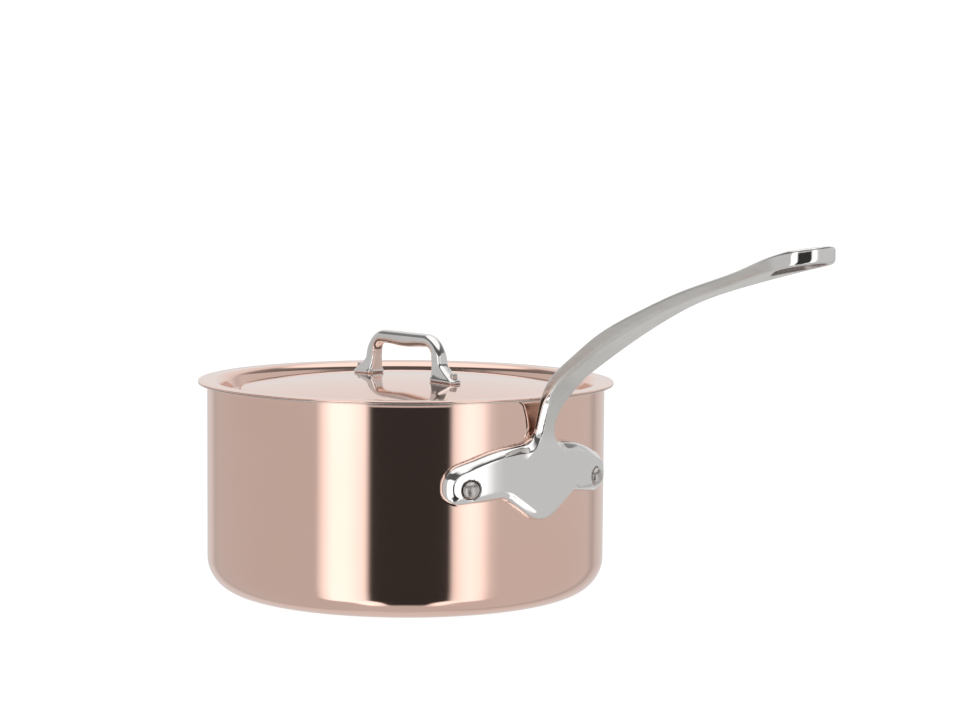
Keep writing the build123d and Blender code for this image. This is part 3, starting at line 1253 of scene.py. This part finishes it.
@dataclass
class PanHandle(Casting):
    """The cast handle: a winged plate on the wall, a rising arm and a teardrop eye, with its two rivets."""

    wall_radius: float = 102.1
    plate_thickness: float = 5.5
    plate_reach: float = 12.0
    bevel_inset: float = 4.7
    bevel_start: float = 2.15
    bevel_curl: float = 1.3
    bevel_limit: float = 1.3
    tip_steepness: float = 0.9
    crease_blend: float = 0.18
    edge_blend: float = 2.4
    wing_unfold: float = 3.0
    wing_top_rise: float = 9.4
    wing_top_round: float = 12.0
    wing_arch_half_width: float = 29.0
    wing_arch_rise: float = 19.0
    wing_arch_round: float = 75.0
    wing_bottom_drop: float = 9.6
    wing_bottom_round: float = 8.6
    shoulder_rise: float = 22.5
    waist_half_width: float = 23.8
    waist_drop: float = 6.0
    waist_round: float = 6.5
    lobe_drop: float = 21.4
    lobe_round: float = 16.5
    neck_blend: float = 5.0
    arm_edge_round: float = 2.3
    arm_edge_share: float = 0.47
    root_length: float = 25.0
    root_edge_round: float = 0.8
    root_chamfer: tuple[float, float] = (1.8, 2.5)
    end_round: float = 1.8
    eye_rim: float = 3.5
    eye_length: float = 29.0
    eye_tip_radius: float = 0.7
    eye_round: float = 1.2
    rivet: RivetSize = RivetSize(4.3, 3.5, 2.3, 2.5, 5.5, 1.2)
    rivet_seat_depth: float = 0.8
    rivet_inner_sink: float = 0.2
    rivet_spot_radius: float = 4.8
    rivet_spot_depth: float = 1.9
    rivet_spot_blend: float = 0.4
    plate_polish_drop: tuple[float, float] = (22.0, 10.0)
    neck_polish_lean: tuple[float, float] = (0.35, 0.7)
    neck_polish_rise: float = 16.0
    end_polish_run: tuple[float, float] = (8.0, 2.0)
    end_polish_level: tuple[float, float] = (0.6, 0.8)
    end_polish_rim: tuple[float, float] = (0.8, 1.6)
    # Where the eye's inner wall is painted dark as shade.
    eye_shade_rim: tuple[float, float] = (0.3, 0.9)
    eye_shade_level: tuple[float, float] = (0.5, 0.75)
    search_step: float = 0.95
    search_margin: float = 1.5

    def __post_init__(self) -> None:
        """Takes the handle's reach and the pan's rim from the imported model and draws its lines."""
        self.low, self.high = node_box("handle")
        wall, rim = node_box("pan_copper_shell")[1][[0, 2]]
        self.rim = rim
        self.face_radius = self.wall_radius + self.plate_thickness
        stations = [
            Station(2.2, -27.0, 26.0, 5.2),
            Station(2.9, -22.5, 18.0, 5.1),
            Station(3.8, -18.0, 12.6, 5.0),
            Station(4.9, -12.5, 10.6, 5.0),
            Station(8.4, -3.0, 12.2, 5.2),
            Station(15.0, 7.2, 15.8, 6.0),
            Station(31.4, 20.1, 17.5, 6.8),
            Station(48.2, 30.8, 19.0, 7.2),
            Station(78.0, 45.9, 17.0, 6.2),
            Station(100.0, 55.1, 15.0, 5.7),
            Station(120.0, 61.5, 15.8, 5.4),
            Station(140.0, 67.3, 20.5, 5.6),
            Station(158.0, 72.7, 27.0, 6.6),
            Station(169.5, 75.7, 29.5, 7.0),
            Station(186.0, 79.3, 29.5, 7.1),
        ]
        self.track = Track(np.array(stations) + [wall, rim, 0.0, 0.0])
        self.end_radius = stations[-1].width / 2
        self.end_centre = self.high[0] - self.end_radius
        self.eye_radius = self.end_radius - self.eye_rim
        rivet = sum(node_box("handle_rivet_right")) / 2
        self.rivet_angle = math.atan2(abs(rivet[1]), rivet[0])
        self.plate_middle = rivet[2]
        self.outline = Outline(self.plate_outline())

    def plate_outline(self) -> Array:
        """Draws the plate's outline, laid flat.

        Returns:
            Its points, across and up.
        """
        middle = self.plate_middle
        tip = self.high[1] + self.wing_unfold
        half = [
            Corner(self.wing_arch_half_width, middle + self.wing_arch_rise, self.wing_arch_round),
            Corner(tip, middle + self.wing_top_rise, self.wing_top_round),
            Corner(tip, middle - self.wing_bottom_drop, self.wing_bottom_round),
            Corner(self.waist_half_width, middle - self.waist_drop, self.waist_round),
        ]
        top = Corner(0.0, middle + self.shoulder_rise)
        lobe = Corner(0.0, middle - self.lobe_drop, self.lobe_round)
        other = [Corner(-corner.across, corner.height, corner.round) for corner in reversed(half)]
        return rounded_line([top, *half, lobe, *other])

    def at_rivet(self, x: Array, y: Array) -> tuple[Array, Array]:
        """Distances along the nearer rivet's axis and beside it, towards the wing's tip."""
        along, beside = math.cos(self.rivet_angle), math.sin(self.rivet_angle)
        return x * along + np.abs(y) * beside, np.abs(y) * along - x * beside

    def plate(self, x: Array, y: Array, z: Array) -> Array:
        """Distance to the plate: its outline raised off the wall, with a broad bevel round its face.

        Args:
            x: places along the handle, in millimetres.
            y: places across it.
            z: heights.

        Returns:
            The distance, negative inside.
        """
        outward, aside = self.at_rivet(x, y)
        face = np.where(aside > 0, outward, np.hypot(x, y)) - self.face_radius
        turn = np.where(aside > 0, self.rivet_angle, np.arctan2(np.abs(y), x))
        edge = self.outline.distance(turn * self.face_radius + np.maximum(aside, 0), z)
        share = np.clip(edge / self.bevel_inset + 1, -1, self.bevel_limit)
        fade = self.rivet_spot_radius / 2
        steep = self.tip_steepness * smooth_step(aside, -fade, fade)
        start = self.bevel_start + steep
        curl = np.maximum(share, 0) * (self.bevel_curl - steep)
        slope = (start + 2 * curl) / self.bevel_inset
        bevel = (face + share * (start + curl)) / np.hypot(1, slope)
        return smooth_max(smooth_max(face, bevel, self.crease_blend), edge, self.edge_blend)

    def arm(self, x: Array, y: Array, z: Array) -> Array:
        """Distance to the arm: a rounded bar along the track, with a round end.

        Args:
            x: places along the handle, in millimetres.
            y: places across it.
            z: heights.

        Returns:
            The distance, negative inside.
        """
        along, above = self.track.nearest(x, z)
        row = self.track.at(along)
        width, thickness = row[..., 2], row[..., 3]
        root = 1 - smooth_step(along, self.root_length, 2 * self.root_length)
        radius = self.arm_edge_round + (self.root_edge_round - self.arm_edge_round) * root
        radius = np.minimum(radius, self.arm_edge_share * thickness)
        bar = rounded_box(y, above, (width / 2, thickness / 2), radius)
        wide, deep = self.root_chamfer
        chamfer = (np.abs(y) - width / 2) * deep - (above + thickness / 2 - deep) * wide
        chamfer = chamfer / math.hypot(wide, deep) - (1 - root) * deep
        bar = smooth_max(bar, chamfer, self.crease_blend)
        past = np.maximum(x - self.end_centre, 0)
        bar = smooth_max(bar, np.hypot(past, y) - self.end_radius, self.end_round)
        return smooth_max(bar, self.track.rows[0, 1] - z, self.neck_blend)

    def eye(self, x: Array, y: Array) -> Array:
        """Distance to the teardrop eye, seen from above.

        Args:
            x: places along the handle, in millimetres.
            y: places across it.

        Returns:
            The distance, negative inside.
        """
        tip = self.eye_length - self.eye_radius - self.eye_tip_radius
        lean = (self.eye_radius - self.eye_tip_radius) / tip
        square = math.sqrt(1 - lean**2)
        back, side = self.end_centre - x, np.abs(y)
        level = back * square - side * lean
        wall = side * square + back * lean - self.eye_radius
        ring = np.hypot(back, side) - self.eye_radius
        point = np.hypot(back - tip, side) - self.eye_tip_radius
        return np.where(level < 0, ring, np.where(level > square * tip, point, wall))

    def rivet_spots(self, x: Array, y: Array, z: Array) -> Array:
        """Distance to the flat spots that the rivet heads sit on.

        Args:
            x: places along the handle, in millimetres.
            y: places across it.
            z: heights.

        Returns:
            The distance, negative in the space above a spot.
        """
        outward, aside = self.at_rivet(x, y)
        well = np.hypot(aside, z - self.plate_middle) - self.rivet_spot_radius
        return np.maximum(well, self.face_radius - self.rivet_spot_depth - outward)

    def field(self, x: Array, y: Array, z: Array) -> Array:
        """Distance to the casting's surface.

        Args:
            x: places along the handle, in millimetres.
            y: places across it.
            z: heights.

        Returns:
            The distance, negative inside.
        """
        arm = self.arm(x, y, z)
        plate = np.full(np.broadcast(x, y, z).shape, self.plate_reach)
        near = x.ravel() < self.face_radius + self.plate_reach
        plate[near] = self.plate(*(v[near] if len(v) == len(near) else v for v in (x, y, z)))
        solid = smooth_min(plate, arm, self.neck_blend)
        solid = smooth_max(solid, -self.eye(x, y), self.eye_round)
        solid = smooth_max(solid, -self.rivet_spots(x, y, z), self.rivet_spot_blend)
        into_wall = self.wall_radius - np.hypot(x, y)
        over_rim = -np.maximum(into_wall, z - self.rim)
        return np.maximum(solid, np.where(z < self.rim, into_wall, over_rim))

    def polish(self, points: Array, slope: Array) -> Array:
        """How bright each point is buffed, and where the eye's inner wall is painted dark as shade.

        Args:
            points: the casting's points.
            slope: the field's gradient at each.

        Returns:
            1 on the plate and the end's rim, 0 on the arm and -1 inside the eye, which marks painted shade.
        """
        x, y, z = points.T
        lean = np.abs(slope / np.linalg.norm(slope, axis=1)[:, None])
        eye = self.eye(x, y)
        start, stop = self.plate_polish_drop
        plate = 1 - smooth_step(z, self.rim - start, self.rim - stop)
        neck = smooth_step(lean[:, 1], *self.neck_polish_lean)
        neck = neck * (1 - smooth_step(z, self.rim, self.rim + self.neck_polish_rise))
        start, stop = self.end_polish_run
        end = smooth_step(x, self.end_centre - start, self.end_centre - stop)
        end = end * (1 - smooth_step(lean[:, 2], *self.end_polish_level))
        end = end * smooth_step(eye, *self.end_polish_rim)
        # The eye's inner wall, where it does not face up or down, gets painted shade.
        painted_eye_shade = (1 - smooth_step(eye, *self.eye_shade_rim)) * (1 - smooth_step(lean[:, 2], *self.eye_shade_level))
        return np.maximum(np.maximum(plate, neck), end) - painted_eye_shade

    def build(self, rivets: RivetHeads) -> None:
        """Makes and dresses the casting and its rivets.

        Args:
            rivets: the tree that makes rivets.
        """
        margin = self.search_margin
        points, faces = self.skin(self.low - margin, self.high + margin, self.search_step)
        _, slope = self.slope(points)
        mesh = plain_mesh("handle_cast", points, faces)
        attribute = mesh.attributes.new(POLISH_AND_EYE_SHADE, "FLOAT", "POINT")
        attribute.data.foreach_set("value", self.polish(points, slope).astype(np.float32))
        show("handle_cast", mesh, CastSteel(), Body.PAN, ["handle"])
        self.build_rivets(rivets)

    def build_rivets(self, rivets: RivetHeads) -> None:
        """Makes and dresses the two rivets.

        Args:
            rivets: the tree that makes rivets.
        """
        seat = self.face_radius - self.rivet_seat_depth
        turn = np.array([-self.rivet_angle, self.rivet_angle])
        axes = np.stack([np.cos(turn), np.sin(turn), np.zeros(2)], axis=1)
        seats = axes * seat + [0, 0, self.plate_middle]
        inner = node_box("pan_steel_lining")[1][0] - Pan.lining_wall
        grip = seat - inner + self.rivet_inner_sink
        mesh = rivets.set_out("handle_rivets", seats, axes, self.rivet, grip, RivetSteel())
        nodes = ["handle_rivet_left", "handle_rivet_right"]
        show("handle_rivets", mesh, RivetSteel(), Body.PAN, nodes)


@dataclass
class LidHandle(Casting):
    """The lid's cast bridge handle on two flared feet, with its two rivets."""

    dome: LidSheet
    bar_middle: float = 129.0
    bar_thickness: float = 6.8
    bar_swell: float = 0.8
    swell_reach: float = 15.0
    bar_width: float = 6.8
    bar_round: float = 3.2
    leg_round: float = 1.9
    leg_round_start: float = 2.0
    leg_top: float = 24.8
    leg_base: float = 27.8
    corner_radius: float = 7.5
    flare_height: float = 9.5
    flare_power: float = 1.4
    pad_height: float = 1.8
    pad_nose: float = 0.35
    pad_inner: float = 3.7
    pad_outer: float = 12.6
    pad_inner_half: float = 5.8
    pad_outer_half: float = 3.5
    pad_round: float = 2.6
    ridge_round: float = 2.0
    foot_blend: float = 1.0
    rivet: RivetSize = RivetSize(1.9, 3.0, 5.0, 1.8, 4.0, 0.9)
    rivet_reach: float = 9.7
    rivet_seat: float = 2.2
    rivet_inner_sink: float = 0.1
    search_step: float = 0.55
    search_margin: float = 1.2

    def __post_init__(self) -> None:
        """Takes the handle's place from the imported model."""
        self.low, self.high = node_box("lid_handle")
        rise = self.bar_middle - self.dome.dome_height(self.leg_base)
        self.lean = (self.leg_base - self.leg_top) / rise

    def leg_line(self, z: Array) -> Array:
        """Distance of a leg's middle from the axis at a height."""
        return self.leg_top + (self.bar_middle - z) * self.lean

    def bridge(self, x: Array, y: Array, z: Array) -> Array:
        """Distance to the bar and the legs: one band bent over two round corners.

        Args:
            x: places along the handle, in millimetres.
            y: places across it.
            z: heights.

        Returns:
            The distance, negative inside.
        """
        side = np.abs(x)
        swell = self.bar_swell * np.maximum(1 - (side / self.swell_reach) ** 2, 0) ** 2
        up = z - self.bar_middle + self.corner_radius
        out = (side - self.leg_line(z)) / math.hypot(1, self.lean) + self.corner_radius
        band = np.hypot(np.maximum(up, 0), np.maximum(out, 0)) + np.minimum(np.maximum(up, out), 0)
        band = band - self.corner_radius + swell / 2
        start = self.leg_round_start
        in_leg = smooth_step(self.bar_middle - z, start, start + self.corner_radius)
        radius = self.bar_round + (self.leg_round - self.bar_round) * in_leg
        half = (self.bar_width / 2, self.bar_thickness / 2 + swell / 2)
        return rounded_box(y, band, half, radius)

    def foot(self, x: Array, y: Array, z: Array) -> Array:
        """Distance to the feet: four-sided pads that flare out of the legs.

        Args:
            x: places along the handle, in millimetres.
            y: places across it.
            z: heights.

        Returns:
            The distance, negative inside.
        """
        height = z - self.dome.dome_height(np.hypot(x, y))
        share = np.clip((self.flare_height - height) / (self.flare_height - self.pad_height), 0, 1)
        flare = share**self.flare_power
        out = np.abs(x) - self.leg_line(z)
        half_leg = self.bar_thickness / 2
        inner = half_leg + (self.pad_inner - half_leg) * flare
        outer = half_leg + (self.pad_outer - half_leg) * flare
        narrow = self.bar_width / 2 + (self.pad_inner_half - self.bar_width / 2) * flare
        far = self.bar_width / 2 + (self.pad_outer_half - self.bar_width / 2) * flare
        taper = np.clip((out + inner) / (inner + outer), 0, 1)
        sides = np.abs(y) - (narrow + (far - narrow) * taper)
        ends = np.maximum(-inner - out, out - outer)
        walls = smooth_max(ends, sides, self.ridge_round + (self.pad_round - self.ridge_round) * flare)
        middle = self.pad_height / 2
        walls = walls + self.pad_nose * np.clip((height - middle) / middle, -1, 1) ** 2
        return smooth_max(walls, height - self.flare_height, self.pad_round)

    def field(self, x: Array, y: Array, z: Array) -> Array:
        """Distance to the casting's surface, negative inside."""
        solid = smooth_min(self.bridge(x, y, z), self.foot(x, y, z), self.foot_blend)
        return np.maximum(solid, self.dome.dome_height(np.hypot(x, y)) - z)

    def build(self, rivets: RivetHeads) -> None:
        """Makes and dresses the casting and its rivets.

        Args:
            rivets: the tree that makes rivets.
        """
        margin = self.search_margin
        points, faces = self.skin(self.low - margin, self.high + margin, self.search_step)
        mesh = plain_mesh("lid_handle_cast", points, faces)
        show("lid_handle_cast", mesh, PolishedSteel(), Body.LID, ["lid_handle"])
        place = self.leg_base + self.rivet_reach
        seat = float(self.dome.dome_height(place)) + self.rivet_seat
        seats = np.array([[place, 0, seat], [-place, 0, seat]])
        axes = np.array([[0, 0, 1.0]] * 2)
        grip = self.rivet_seat + self.dome.copper_wall + self.dome.lining_wall + self.rivet_inner_sink
        mesh = rivets.set_out("lid_rivets", seats, axes, self.rivet, grip, RivetSteel())
        show("lid_rivets", mesh, RivetSteel(), Body.LID, ["lid_rivet_front", "lid_rivet_back"])


class Stop(NamedTuple):
    """A stop of the ring of cards: degrees from the camera, its light and how dark the gap above it is."""

    angle: float
    light: float
    gap: float


@dataclass
class Studio:
    """A white sweep round the pan, with soft cards and a dark gap at the camera for the metal to mirror."""

    azimuth: float = math.radians(39.5)
    distance: float = 1358.0
    height: float = 245.0
    pitch: float = 0.0947
    yaw: float = 0.0298
    roll: float = 0.0080
    focal_pixels: float = 2650.0
    light_scale: float = 1.6
    overhead: float = 1.15
    overhead_levels: tuple[float, float] = (0.70, 0.84)
    underneath: float = 0.56
    underneath_levels: tuple[float, float] = (-0.93, -0.98)
    gap_light: float = 0.10
    gap_start: tuple[float, float] = (0.36, 0.42)
    gap_end: tuple[float, float] = (0.70, 0.82)
    low_card_light: float = 0.55
    low_card_start: tuple[float, float] = (0.0, 0.07)
    low_card_end: tuple[float, float] = (0.33, 0.40)
    backdrop_lift: float = 0.12
    backdrop_levels: tuple[float, float] = (-0.1, 0.12)
    lean_start: tuple[float, float] = (0.0, -0.05)
    lean_end: tuple[float, float] = (-0.80, -0.90)
    lean_front: tuple[float, float] = (0.1, 0.3)
    clip: tuple[float, float] = (0.05, 50.0)
    floor_size: float = 6.0
    floor_drop: float = 0.0003
    shadow_share: float = 0.16
    floor_light: float = 1.12

    def axes(self) -> tuple[Vector, Vector]:
        """Level directions from the pan towards the camera and to the camera's right."""
        toward = Vector((math.cos(self.azimuth), -math.sin(self.azimuth), 0.0))
        return toward, Vector((math.sin(self.azimuth), math.cos(self.azimuth), 0.0))

    def stops(self) -> list[Stop]:
        """The ring of cards that polished metal sees.

        Returns:
            The stops, from behind the pan on the left round to behind it.
        """
        back, left, right, card, dark = 0.68, 0.545, 0.585, 1.45, 0.034
        return [
            Stop(-180, back, 0.0),
            Stop(-152, back, 0.0),
            Stop(-143, 0.5, 0.3),
            Stop(-136, left, 0.7),
            Stop(-52, left, 1.0),
            Stop(-47, 1.1, 1.0),
            Stop(-42, card, 1.0),
            Stop(-33, card, 1.0),
            Stop(-23, 1.15, 1.0),
            Stop(-19.5, dark, 1.0),
            Stop(24.5, dark, 1.0),
            Stop(27, 0.9, 1.0),
            Stop(32, 1.25, 1.0),
            Stop(37, 1.36, 1.0),
            Stop(43, 1.22, 1.0),
            Stop(49, 0.7, 1.0),
            Stop(54, right, 1.0),
            Stop(130, right, 0.7),
            Stop(138, 0.45, 0.3),
            Stop(146, 0.6, 0.0),
            Stop(160, back, 0.0),
            Stop(180, back, 0.0),
        ]

    def hang_world(self) -> None:
        """Makes the world: white to the eye and to soft light, cards and sweep to polished metal."""
        world = bpy.data.worlds.new("studio")
        bpy.context.scene.world = world
        world.use_nodes = True
        world.cycles.sampling_method = "NONE"
        graph = Graph(world.node_tree)
        way = graph.node("ShaderNodeTexCoord", output="Generated")
        toward, right = (
            graph.node("ShaderNodeVectorMath", {"operation": "DOT_PRODUCT"}, {0: way, 1: axis}, "Value")
            for axis in self.axes()
        )
        level = graph.node("ShaderNodeSeparateXYZ", inputs={0: way}).out("Z")
        leaning = right.math("ARCTAN2", toward + 1.0) * 2.0
        lean = level.ease(*self.lean_start) * (1.0 - level.ease(*self.lean_end))
        lean = lean * toward.ease(*self.lean_front)
        turn = lean.mix(right.math("ARCTAN2", toward), leaning) / (2 * math.pi) + 0.5
        stops = [
            ((stop.angle + 180) / 360, (*[stop.light / self.light_scale] * 3, stop.gap))
            for stop in self.stops()
        ]
        ring = graph.node("ShaderNodeValToRGB", {"stops": stops}, {"Fac": turn})
        light = graph.node("ShaderNodeRGBToBW", inputs={0: ring}) * self.light_scale
        gap = level.ease(*self.gap_start) * (1.0 - level.ease(*self.gap_end)) * ring.out("Alpha")
        light = light + level.ease(*self.backdrop_levels) * (1.0 - ring.out("Alpha")) * self.backdrop_lift
        light = gap.mix(light, self.gap_light)
        low_card = level.ease(*self.low_card_start) * (1.0 - level.ease(*self.low_card_end))
        light = light.math("MAXIMUM", low_card * self.low_card_light)
        light = level.ease(*self.overhead_levels).mix(light, self.overhead)
        light = level.ease(*self.underneath_levels).mix(light, self.underneath)
        cards = graph.node("ShaderNodeBackground", inputs={"Color": WHITE, "Strength": light})
        plain = graph.node("ShaderNodeBackground", inputs={"Color": WHITE, "Strength": 1.0})
        path = graph.node("ShaderNodeLightPath", output="Is Camera Ray")
        white = (path + path.out("Is Diffuse Ray")).clamp(0.0, 1.0)
        mixed = graph.node("ShaderNodeMixShader", inputs={0: white, 1: cards, 2: plain})
        graph.node("ShaderNodeOutputWorld", inputs={"Surface": mixed})

    def lay_floor(self) -> None:
        """Lays a white floor that keeps a soft shadow under the pan."""
        half = self.floor_size / 2
        corners = np.array([[-half, -half], [half, -half], [half, half], [-half, half]])
        points = np.column_stack([corners, np.full(4, -self.floor_drop)]) / MM
        floor = bpy.data.objects.new("floor", plain_mesh("floor", points, np.array([[0, 1, 2, 3]])))
        bpy.context.scene.collection.objects.link(floor)
        paper = bpy.data.materials.new("white_paper")
        paper.use_nodes = True
        graph = Graph(paper.node_tree)
        glow = graph.node("ShaderNodeEmission", inputs={"Color": WHITE, "Strength": self.floor_light})
        matt = graph.node("ShaderNodeBsdfDiffuse", inputs={"Color": WHITE})
        mixed = graph.node("ShaderNodeMixShader", inputs={0: self.shadow_share, 1: glow, 2: matt})
        graph.node("ShaderNodeOutputMaterial", inputs={"Surface": mixed})
        floor.data.materials.append(paper)
        floor.visible_glossy = False

    def set_camera(self) -> None:
        """Puts the camera where the photograph was taken from."""
        toward, right = self.axes()
        up = Vector((0.0, 0.0, 1.0))
        ahead = math.sin(self.yaw) * right - math.cos(self.yaw) * toward
        right = math.cos(self.yaw) * right + math.sin(self.yaw) * toward
        back = math.sin(self.pitch) * up - math.cos(self.pitch) * ahead
        up = math.cos(self.pitch) * up + math.sin(self.pitch) * ahead
        right, up = (
            math.cos(self.roll) * right + math.sin(self.roll) * up,
            math.cos(self.roll) * up - math.sin(self.roll) * right,
        )
        data = bpy.data.cameras.new("camera")
        data.sensor_width = SENSOR_WIDTH
        data.lens = SENSOR_WIDTH * self.focal_pixels / PHOTO_WIDTH
        data.clip_start, data.clip_end = self.clip
        camera = bpy.data.objects.new("camera", data)
        bpy.context.scene.collection.objects.link(camera)
        place = self.axes()[0] * (self.distance * MM) + Vector((0.0, 0.0, self.height * MM))
        turned = Matrix((right, up, back)).transposed().to_4x4()
        camera.matrix_world = Matrix.Translation(place) @ turned
        bpy.context.scene.camera = camera

    def build(self) -> None:
        """Sets up the light, the floor and the camera."""
        bpy.context.scene.view_settings.view_transform = "Standard"
        self.hang_world()
        self.lay_floor()
        self.set_camera()


def main() -> None:
    """Builds the pan, the lid and the studio, in order."""
    logging.basicConfig(level=logging.INFO, format="%(message)s")
    rivets = RivetHeads()
    lid = LidSheet()
    Pan().build()
    PanHandle().build(rivets)
    lid.build()
    LidHandle(lid).build(rivets)
    Studio().build()


if __name__ == "__main__":
    main()
